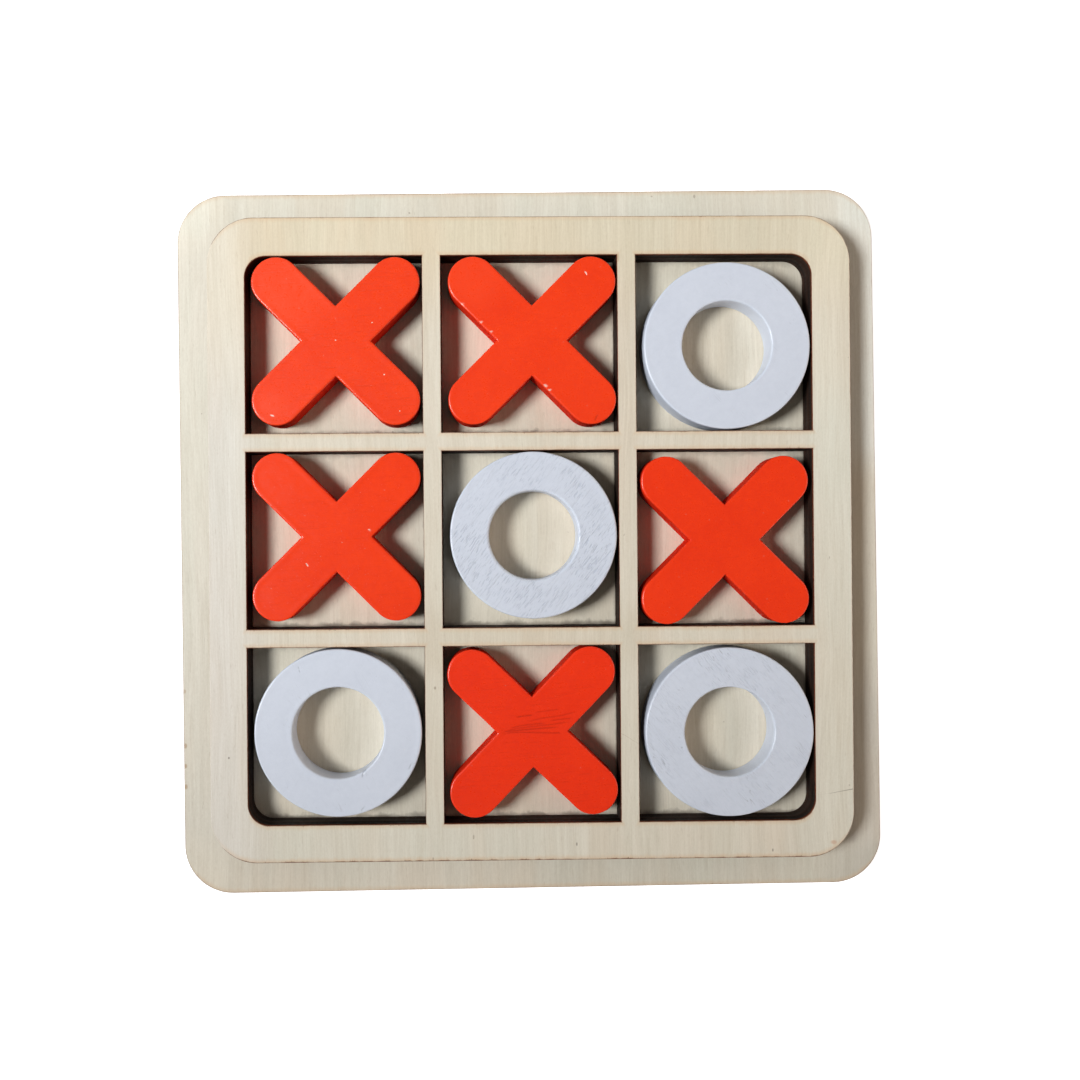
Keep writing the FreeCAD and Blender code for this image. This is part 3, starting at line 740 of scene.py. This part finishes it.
def paint(name, seed, light, dark, bare, rough=(0.27, 0.36), lines=0.0, angle=0.0, scratch=0.0, scratch_angle=0.0, dashes=0.0,
          speckle=0.3, painted_sheen=(), origin=(0.0, 0.0, 0.0), bump=0.000018, flank_shade=None):
    m = Look(name)
    q = m.vec("ADD", m.attribute("local", True), (seed * 2.1, seed * 4.7, 0.0))
    turn = m.node("ShaderNodeMapping", vector_type="POINT")
    turn.inputs["Rotation"].default_value = (0, 0, math.radians(-angle))
    m.feed(turn.inputs["Vector"], q)
    cloud = m.noise(m.vec("MULTIPLY", q, (0.10, 0.10, 0.10)), 3.0, 0.55)
    mottle = m.noise(m.vec("MULTIPLY", q, (0.9, 0.9, 0.9)), 3.0, 0.65)
    peel = m.noise(m.vec("MULTIPLY", q, (2.4, 2.4, 2.4)), 2.0, 0.6)
    pore = m.noise(m.vec("MULTIPLY", turn.outputs[0], (0.22, 3.2, 1.0)), 2.0, 0.5)
    t = m.math("ADD", m.math("MULTIPLY", cloud, 0.45), m.math("MULTIPLY", mottle, 0.55))
    colour = m.mix(m.linear(t, 0.36, 0.66), light, dark)
    groove, chip, edge = m.attribute("groove"), m.attribute("chip"), m.attribute("edge")
    face = m.math("SUBTRACT", 1.0, m.attribute("side"))
    told = m.math("MULTIPLY", m.math("MULTIPLY", m.step(pore, 0.56, 0.74), lines), face)
    dim = tuple(c * 0.72 for c in light)
    colour = m.mix(m.math("MULTIPLY", told, 0.5), colour, dim)
    own = m.vec("SUBTRACT", m.attribute("local", True), origin)
    # paler pink patches on the arms that face the key: a painted sheen
    for x, y, rx, ry, soft, amount, tint in painted_sheen:
        where = m.math("MULTIPLY", m.spot(own, x, y, rx, ry, soft), amount)
        where = m.math("MULTIPLY", where, m.linear(mottle, 0.35, 0.65, 0.55, 1.25))
        colour = m.mix(where, colour, tint)
    sand = m.noise(m.vec("MULTIPLY", q, (4.2, 4.2, 4.2)), 1.0)
    colour = m.mix(m.math("MULTIPLY", m.linear(sand, 0.52, 0.78), speckle * 0.35), colour, bare)
    colour = m.mix(m.math("MULTIPLY", m.linear(sand, 0.48, 0.22), speckle * 0.22), colour, tuple(c * 0.70 for c in dark))
    dash = None
    if dashes:
        d1 = m.noise(m.vec("MULTIPLY", turn.outputs[0], (0.75, 5.2, 1.0)), 1.0, 0.4)
        where = m.step(m.noise(m.vec("MULTIPLY", q, (0.13, 0.13, 0.13)), 1.0), 0.36, 0.60, 0.35, 1.0)
        dash = m.math("MULTIPLY", m.math("MULTIPLY", m.step(d1, 0.56, 0.70), where), face)
        colour = m.mix(m.math("MULTIPLY", dash, dashes), colour, tuple(c * k for c, k in zip(light, (0.56, 0.60, 0.66))))
    if scratch:
        turn2 = m.node("ShaderNodeMapping", vector_type="POINT")
        turn2.inputs["Rotation"].default_value = (0, 0, math.radians(-scratch_angle))
        m.feed(turn2.inputs["Vector"], q)
        fine = m.noise(m.vec("MULTIPLY", turn2.outputs[0], (0.16, 2.1, 1.0)), 0.0)
        where = m.step(m.noise(m.vec("MULTIPLY", q, (0.16, 0.16, 0.16)), 1.0), 0.46, 0.62)
        nick = m.math("MULTIPLY", m.step(m.math("ABSOLUTE", m.math("SUBTRACT", fine, 0.5)), 0.0, 0.020, 1.0, 0.0), where)
        nick = m.math("MULTIPLY", nick, m.step(m.noise(m.vec("MULTIPLY", q, (0.5, 0.5, 0.5)), 1.0), 0.45, 0.6))
        colour = m.mix(m.math("MULTIPLY", nick, scratch), colour, tuple(c * 0.55 for c in light))
    colour = m.mix(m.math("MULTIPLY", groove, 0.62), colour, tuple(c * 0.55 for c in dark))
    # rubbed arrises and small bare chips
    worn = m.math("MULTIPLY", edge, m.step(m.noise(m.vec("MULTIPLY", q, (0.8, 0.8, 0.8)), 3.0, 0.7), 0.68, 0.78))
    colour = m.mix(m.math("MULTIPLY", worn, 0.18), colour, bare)
    dust = m.step(m.noise(m.vec("MULTIPLY", q, (1.7, 1.7, 1.7)), 1.0, 0.4), 0.795, 0.82)
    colour = m.mix(m.math("MULTIPLY", dust, 0.22), colour, bare)
    colour = m.mix(chip, colour, bare)
    # the flanks in a darker red: painted shade on the sides
    if flank_shade:
        colour = m.mix(m.attribute("side"), colour, flank_shade)
    rr = m.linear(m.math("ADD", m.math("MULTIPLY", mottle, 0.5), m.math("MULTIPLY", peel, 0.5)), 0.3, 0.7, rough[0], rough[1])
    rr = m.math("ADD", rr, m.math("MULTIPLY", chip, 0.35), clamp=True)
    rr = m.math("SUBTRACT", rr, m.math("MULTIPLY", edge, 0.06))
    rr = m.math("ADD", rr, m.math("MULTIPLY", m.attribute("side"), m.math("SUBTRACT", 0.85 if flank_shade else 0.60, rr)))
    height = m.math("ADD", m.math("MULTIPLY", peel, 0.7), m.math("MULTIPLY", mottle, 0.6))
    if dash is not None:
        height = m.math("SUBTRACT", height, m.math("MULTIPLY", dash, 2.4))
    height = m.math("SUBTRACT", height, m.math("MULTIPLY", told, 1.6))
    if flank_shade:
        m.feed(m.bsdf.inputs["Specular IOR Level"], m.math("SUBTRACT", 0.5, m.math("MULTIPLY", m.attribute("side"), 0.40)))
    return m.finish(colour, rr, height, bump, 1.0)


# ---------------------------------------------------------------- the pieces' looks
def far_rim(m, q):
    s = m.node("ShaderNodeSeparateXYZ")
    m.feed(s.inputs[0], q)
    return m.math("MULTIPLY", m.step(s.outputs[1], 40.0, 62.0), m.step(s.outputs[0], -64.0, -52.0))


def left_rim(m, q):
    s = m.node("ShaderNodeSeparateXYZ")
    m.feed(s.inputs[0], q)
    return m.math("MULTIPLY", m.step(s.outputs[0], -63.0, -50.0, 1.0, 0.0), m.step(s.outputs[1], 20.0, 50.0, 1.0, 0.0))


# the grid's two outer side rims made brighter: painted light
def painted_light_outer_rims(m, q):
    s = m.node("ShaderNodeSeparateXYZ")
    m.feed(s.inputs[0], q)
    return m.step(m.math("ABSOLUTE", s.outputs[0]), 55.0, 60.0)


# the board's left margin made brighter: painted light
def painted_light_left_margin(m, q):
    s = m.node("ShaderNodeSeparateXYZ")
    m.feed(s.inputs[0], q)
    return m.step(s.outputs[0], -68.0, -60.0, 1.0, 0.0)


def base_far(m, q):
    s = m.node("ShaderNodeSeparateXYZ")
    m.feed(s.inputs[0], q)
    return m.step(s.outputs[1], 62.0, 67.0)


# the board's near margin made darker: painted shade
def painted_shade_near_margin(m, q):
    s = m.node("ShaderNodeSeparateXYZ")
    m.feed(s.inputs[0], q)
    return m.step(s.outputs[1], -67.0, -62.0, 1.0, 0.0)


def region(x0, x1, y0, y1, soft=8.0):
    """A soft-edged rectangle on the sheet, in mm."""
    def value(m, q):
        s = m.node("ShaderNodeSeparateXYZ")
        m.feed(s.inputs[0], q)
        fac = 1.0
        for out, low, high in ((s.outputs[0], x0, x1), (s.outputs[1], y0, y1)):
            if low is not None:
                fac = m.math("MULTIPLY", m.step(out, low - soft / 2, low + soft / 2), fac)
            if high is not None:
                fac = m.math("MULTIPLY", m.step(out, high - soft / 2, high + soft / 2, 1.0, 0.0), fac)
        return fac
    return value


BROWN, TAN, DARK = (0.20, 0.13, 0.08), (0.50, 0.33, 0.18), (0.10, 0.065, 0.045)
board_ply = plywood(
    "board_ply", 0.0, 1.0, 3.0, 1, (0.790, 0.735, 0.628), (0.665, 0.605, 0.500),
    # tints on the board's face: brighter on the left margin (painted light), darker along the near margin and at the
    # near right corner (painted shade), slightly cooler along the far margin, brighter and cooler on the upper right
    # margin (painted light), darker on the lower right margin (painted shade), and a painted shadow in a narrow strip
    # beside the grid's right wall
    soot_and_shade=1.0, tints_and_painted_light=[(painted_light_left_margin, (1.12, 1.12, 1.12)), (base_far, (0.99, 1.02, 1.03)), (painted_shade_near_margin, (0.95, 0.95, 0.945)),
                     (region(0.0, None, None, -64.0), (0.93, 0.95, 0.955)), (region(64.0, None, 15.0, None, 10.0), (1.09, 1.16, 1.25)),
                     (region(64.0, None, None, -30.0, 16.0), (0.90, 0.91, 0.94)),
                     (region(64.6, 67.4, -64.0, 62.0, 1.6), (0.85, 0.85, 0.86))],
    spots=[(-72.2, -41.8, 0.35, 0.5, 0.4, 0.7, TAN), (-72.2, -46.0, 0.3, 0.45, 0.4, 0.7, TAN),
           (-72.2, -50.3, 0.35, 0.5, 0.4, 0.7, TAN), (-72.2, -30.5, 0.3, 0.4, 0.4, 0.5, TAN)])
grid_ply = plywood(
    "grid_ply", 3.0, 1.2, 5.0, 2, (0.745, 0.690, 0.585), (0.625, 0.565, 0.460),
    spots=[(-61.9, -43.3, 0.16, 0.22, 0.5, 0.65, DARK), (-65.8, -55.5, 0.14, 0.22, 0.5, 0.55, DARK),
           (-20.05, -29.8, 0.20, 0.30, 0.5, 0.6, BROWN), (8.3, -61.9, 0.14, 0.35, 0.5, 0.6, DARK),
           (48.2, -63.8, 0.14, 0.30, 0.5, 0.6, DARK), (-20.9, -64.4, 0.12, 0.30, 0.5, 0.6, DARK),
           (18.4, 57.2, 0.22, 0.9, 0.5, 0.55, TAN), (60.7, -62.4, 0.55, 0.40, 0.5, 0.65, (0.62, 0.40, 0.27))],
    hairs=[(60.04, -52.40, 64.69, -51.66, 0.14, 0.80, (0.24, 0.19, 0.14)), (21.6, -42.1, 17.6, -39.5, 0.07, 0.55, (0.36, 0.25, 0.18)),
           (57.58, -52.77, 60.04, -52.40, 0.06, 0.35, (0.40, 0.33, 0.26))],
    # tints on the grid's face: warmer along the far rim, cooler down the lower left rim, the outer side rims brighter
    # (painted light), slightly cooler on parts of the right, far and near rims, and darker and warmer in the middle of
    # the near bar
    tints_and_painted_light=[(far_rim, (1.0, 0.965, 0.875)), (left_rim, (0.985, 1.015, 1.10)), (painted_light_outer_rims, (1.065, 1.065, 1.065)),
           (region(56.0, None, None, 30.0, 16.0), (0.985, 1.03, 1.06)), (region(10.0, None, 54.0, None, 16.0), (1.0, 1.03, 1.06)),
           (region(-56.0, 10.0, None, -54.0, 16.0), (1.0, 1.03, 1.05)), (region(-24.0, 24.0, -26.0, -14.0, 6.0), (0.95, 0.935, 0.91))])
BARE = (0.86, 0.60, 0.52)
WOODY = (0.80, 0.78, 0.74)
RED_LIGHT, RED_DARK = (0.915, 0.0430, 0.0050), (0.845, 0.0335, 0.0038)
WHITE_LIGHT, WHITE_DARK = (0.652, 0.698, 0.800), (0.612, 0.658, 0.760)
# the colour of the painted sheen on the crosses
SHEEN_PINK = (0.95, 0.080, 0.024)
LOOKS = {"x_piece_1": dict(speckle=0.16, lines=0.55, painted_sheen=[(-9.5, 11.5, 9.0, 7.5, 0.6, 0.45, SHEEN_PINK), (-12.6, -13.4, 3.2, 3.0, 0.6, 0.35, SHEEN_PINK)]),
         "x_piece_2": dict(speckle=0.10, lines=0.25, painted_sheen=[(-12.0, 12.5, 6.0, 6.0, 0.6, 0.25, SHEEN_PINK)]),
         "x_piece_3": dict(rough=(0.21, 0.29), speckle=0.06, lines=0.40, painted_sheen=[(-12.0, 12.0, 6.0, 6.0, 0.6, 0.20, SHEEN_PINK)]),
         "x_piece_4": dict(speckle=0.05), "x_piece_5": dict(speckle=0.05, lines=0.55)}
SEEDS = {n: 501 + 10 * i for i, n in enumerate(CROSSES)}
# how much greener, so more orange, each cross's red is: most at the top left nearest the key, least at the near middle;
# this paints part of the key's sheen into the colour, the rest is the pieces' own hue
ORANGE_AND_SHEEN = {"x_piece_1": 1.22, "x_piece_2": 1.13, "x_piece_3": 1.14, "x_piece_4": 1.0, "x_piece_5": 0.85}
red = {n: paint("red_paint_%d" % (i + 1), 11 + i, (RED_LIGHT[0], RED_LIGHT[1] * ORANGE_AND_SHEEN[n], RED_LIGHT[2] * ORANGE_AND_SHEEN[n]),
                (RED_DARK[0], RED_DARK[1] * ORANGE_AND_SHEEN[n], RED_DARK[2] * ORANGE_AND_SHEEN[n]), BARE, angle=4.0,
                origin=(SEEDS[n] * 3.7, SEEDS[n] * 1.3, SEEDS[n] * 11.0), flank_shade=(0.74, 0.022, 0.0028),
                **{"rough": (0.25, 0.34), "lines": 0.15, **LOOKS[n]})
       for i, n in enumerate(CROSSES)}
white = {"o_piece_1": paint("white_paint_1", 31, WHITE_LIGHT, WHITE_DARK, WOODY, lines=0.1, angle=40, scratch=0.25, scratch_angle=-50,
                            speckle=0.1),
         "o_piece_2": paint("white_paint_2", 32, WHITE_LIGHT, WHITE_DARK, WOODY, lines=0.9, angle=52, dashes=0.42, speckle=0.2),
         "o_piece_3": paint("white_paint_3", 33, WHITE_LIGHT, WHITE_DARK, WOODY, lines=0.1, angle=60, scratch=0.3, scratch_angle=-58,
                            speckle=0.1),
         "o_piece_4": paint("white_paint_4", 34, WHITE_LIGHT, WHITE_DARK, WOODY, lines=0.35, angle=-48, scratch=0.85, scratch_angle=-52,
                            dashes=0.18, speckle=0.2)}

CHIPS = {
    "x_piece_1": [(0.0, 0.15, 0.15, 0.13, 0, 0.03), (7.4, 3.7, 0.16, 0.12, 20, 0.03), (9.8, -6.85, 0.16, 0.15, 0, 0.03),
                  (12.9, -14.2, 0.14, 0.11, 40, 0.03), (-12.9, -15.05, 0.45, 0.15, -20, 0.04)],
    "x_piece_2": [(11.0, 13.6, 0.48, 0.13, -62, 0.08), (2.6, -9.2, 0.28, 0.16, -60, 0.06), (3.5, -10.2, 0.24, 0.12, -60, 0.05),
                  (8.0, -14.3, 0.22, 0.15, -50, 0.06), (-14.15, 7.35, 0.36, 0.11, -45, 0.05), (-10.5, 3.75, 0.20, 0.09, -45, 0.04),
                  (-8.3, 1.65, 0.18, 0.08, -45, 0.04), (-2.65, -9.15, 0.24, 0.10, 48, 0.04)],
    "x_piece_3": [(-6.0, -5.6, 0.40, 0.13, -58, 0.06), (6.7, 1.45, 0.40, 0.10, -5, 0.03)],
    "x_piece_4": [],
    "x_piece_5": [(-10.3, -3.75, 0.30, 0.07, 45, 0.03), (-13.75, -7.15, 0.45, 0.06, 45, 0.03)],
}
STROKES = {
    "x_piece_2": [([(12.6, -16.3), (12.85, -15.8), (13.1, -15.3)], 0.10, 0.06)],
    "x_piece_5": [([(-7.0, 0.2), (-4.0, 0.35), (-1.0, 0.55), (2.0, 0.75), (5.2, 0.85)], 0.17, 0.030),
                  ([(-6.0, -0.05), (-3.0, 0.05), (0.0, -0.05), (3.5, -0.25), (7.0, -0.35)], 0.16, 0.026),
                  ([(-3.2, 3.15), (-1.6, 3.3), (0.1, 3.45)], 0.16, 0.03),
                  ([(-4.4, 0.95), (-2.4, 1.35), (0.2, 1.6), (2.5, 1.75)], 0.16, 0.026),
                  ([(3.6, 2.2), (5.8, 2.45), (8.0, 2.6)], 0.12, 0.025),
                  ([(0.5, 4.0), (3.0, 4.2), (5.5, 4.5)], 0.12, 0.018),
                  ([(-6.6, 0.05), (-3.5, 0.75), (0.0, 1.15), (4.0, 1.45), (7.6, 1.9)], 0.15, 0.024),
                  ([(-1.0, 2.2), (2.0, 2.75), (6.0, 3.2), (9.0, 3.9)], 0.14, 0.020)],
}
pieces = []
board = make_board(board_ply)
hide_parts("base_board")
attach(board, "board")
grid = make_grid(grid_ply)
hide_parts("grid_frame")
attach(grid, "board")
for i, node in enumerate(CROSSES):
    piece = make_cross("red_cross_%d" % (i + 1), node, red[node], SEEDS[node], grain=0.02 if node == "x_piece_5" else 0.004,
                       angle=3.0, strokes=STROKES.get(node, ()), chips=CHIPS[node])
    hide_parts(node)
    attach(piece, node)
for i, (node, grain, angle) in enumerate((("o_piece_1", 0.004, 40), ("o_piece_2", 0.05, 48), ("o_piece_3", 0.003, 60), ("o_piece_4", 0.006, -45))):
    strokes = {"o_piece_3": [([(5.5, -7.5), (5.0, -8.0), (4.8, -8.9)], 0.10, 0.12), ([(15.0, -6.0), (14.6, -6.7), (14.0, -7.5)], 0.08, 0.06),
                             ([(4.4, -15.9), (4.9, -15.2), (5.3, -14.9)], 0.08, 0.05), ([(-8.0, 13.6), (-7.6, 12.2)], 0.07, 0.035)]}.get(node, ())
    piece = make_ring("white_ring_%d" % (i + 1), node, white[node], 601 + 10 * i, grain, angle, strokes=strokes,
                      bevel=(0.36, 0.62) if node == "o_piece_2" else (0.34, 0.36))
    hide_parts(node)
    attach(piece, node)

# ---------------------------------------------------------------- floor, light, camera
def emitter(name, size, power, colour, place, aim=(0, 0, 0), shape="DISK"):
    lamp = bpy.data.lights.new(name, "AREA")
    lamp.shape, lamp.size, lamp.energy, lamp.color = shape, size, power, colour
    o = bpy.data.objects.new(name, lamp)
    o.location = place
    o.rotation_euler = (Vector(aim) - Vector(place)).to_track_quat("-Z", "Y").to_euler()
    o.visible_camera = False
    bpy.context.scene.collection.objects.link(o)
    return o


mesh = bpy.data.meshes.new("floor")
mesh.from_pydata([(-6, -6, 0), (6, -6, 0), (6, 6, 0), (-6, 6, 0)], [], [(0, 1, 2, 3)])
floor = bpy.data.objects.new("floor", mesh)
bpy.context.scene.collection.objects.link(floor)
m = Look("floor_white")
m.bsdf.inputs["Base Color"].default_value = (0.86, 0.86, 0.86, 1)
m.bsdf.inputs["Roughness"].default_value = 0.9
m.bsdf.inputs["Emission Color"].default_value = (1, 1, 1, 1)
away = m.vec("LENGTH", m.node("ShaderNodeTexCoord").outputs["Object"])
m.feed(m.bsdf.inputs["Emission Strength"], m.step(away, 0.25, 1.1, 0.86, 1.04))
mesh.materials.append(m.mat)

# a pale surround for the camera; what lights the set is brighter near the horizon and dim overhead
world = bpy.data.worlds.new("studio")
bpy.context.scene.world = world
world.use_nodes = True
wt = world.node_tree
wt.nodes.clear()
wout, wlit, wseen = (wt.nodes.new(k) for k in ("ShaderNodeOutputWorld", "ShaderNodeBackground", "ShaderNodeBackground"))
wpos, wsep, wmap = (wt.nodes.new(k) for k in ("ShaderNodeTexCoord", "ShaderNodeSeparateXYZ", "ShaderNodeMapRange"))
wray, wmix = wt.nodes.new("ShaderNodeLightPath"), wt.nodes.new("ShaderNodeMixShader")
wlit.inputs[0].default_value = (1.0, 0.955, 0.875, 1)
wseen.inputs[0].default_value = (1.0, 1.0, 1.0, 1)
for k, v in zip(("From Min", "From Max", "To Min", "To Max"), (0.04, 0.34, 1.00, 0.10)):
    wmap.inputs[k].default_value = v
wt.links.new(wpos.outputs["Generated"], wsep.inputs[0])
wt.links.new(wsep.outputs[2], wmap.inputs["Value"])
wt.links.new(wmap.outputs[0], wlit.inputs[1])
wt.links.new(wray.outputs["Is Camera Ray"], wmix.inputs[0])
wt.links.new(wlit.outputs[0], wmix.inputs[1])
wt.links.new(wseen.outputs[0], wmix.inputs[2])
wt.links.new(wmix.outputs[0], wout.inputs[0])

# key: a soft spot low on the left, aimed past the far side so that the light falls off towards the near side
elevation = math.radians(51)
key = bpy.data.lights.new("key", "SPOT")
key.energy, key.color, key.shadow_soft_size, key.spot_size, key.spot_blend = 34.0, (0.960, 0.985, 1.0), 0.14, 0.92, 1.0
key_place = Vector((-0.85 * math.cos(elevation), 0.0, 0.85 * math.sin(elevation)))
lamp = bpy.data.objects.new("key", key)
lamp.location = key_place
lamp.rotation_euler = (Vector((0.0, 0.153, 0.0)) - key_place).to_track_quat("-Z", "Y").to_euler()
bpy.context.scene.collection.objects.link(lamp)
bounce = emitter("bounce", 0.95, 2.1, (1.0, 0.78, 0.60), (0.693, 0.0, 0.40), shape="RECTANGLE")
bounce.data.size_y = 0.28

cam = bpy.data.cameras.new("camera")
cam.lens, cam.sensor_width = 36.147, 36.0
cam.shift_x = (540.0 - 480.0) / 1080.0
camera = bpy.data.objects.new("camera", cam)
camera.location = (-0.013357147, -0.000414052, 0.229)
camera.rotation_euler = (0.002465212, -0.012873475, -0.013769078)
cam.clip_start, cam.clip_end = 0.01, 50.0
bpy.context.scene.collection.objects.link(camera)
bpy.context.scene.camera = camera
bpy.context.scene.view_settings.view_transform = "Standard"
